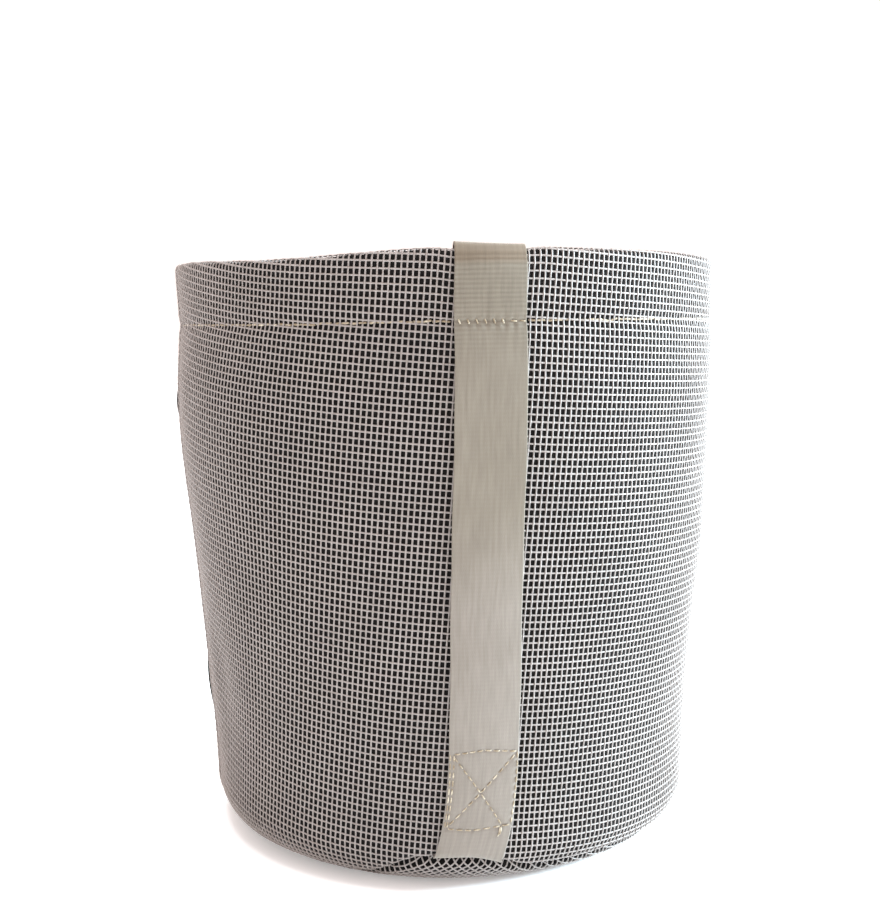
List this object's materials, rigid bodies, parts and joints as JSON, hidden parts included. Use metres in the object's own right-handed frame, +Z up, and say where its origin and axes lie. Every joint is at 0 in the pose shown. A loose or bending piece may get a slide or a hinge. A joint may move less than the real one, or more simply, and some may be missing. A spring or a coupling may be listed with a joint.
{
  "type": "fabric grow bag",
  "caption": "Round tapered grow bag of open coated mesh over a felt liner, with a stitched hem, a round base and opposite webbing carry handles.",
  "frame": {"origin": "on the floor, at the bag's upright axis", "axes": "+Z up out of the mouth, -Y towards the front handle, +Y towards the rear handle, -X towards the wall's side seam"},
  "size_m": [0.2253, 0.2286, 0.2369],
  "materials": {
    "coated_mesh": "open square net of pale coated yarn, matte",
    "felt": "dark non-woven felt",
    "webbing": "beige ribbed webbing",
    "thread": "gold polyester thread"
  },
  "bodies": {
    "root": {"outer_wall_mesh": "coated_mesh", "outer_base_mesh": "coated_mesh", "liner_wall": "felt", "liner_base": "felt", "front_strap_top": "webbing", "front_strap_foot": "webbing", "rear_strap_top": "webbing", "rear_strap_foot": "webbing", "hem_stitching": "thread", "front_box_stitching": "thread", "rear_box_stitching": "thread", "side_seam_stitching": "thread", "base_seam_stitching": "thread"},
    "front_handle": {"front_handle_grip": "webbing"},
    "rear_handle": {"rear_handle_grip": "webbing"}
  },
  "joints": [
    {"name": "front_handle_pull", "type": "slide", "parent": "root", "child": "front_handle", "axis": [0, -1, 0], "range_m": [0, 0.018], "stiffness_N_per_m": 8},
    {"name": "rear_handle_pull", "type": "slide", "parent": "root", "child": "rear_handle", "axis": [0, 1, 0], "range_m": [0, 0.018], "stiffness_N_per_m": 8}
  ]
}
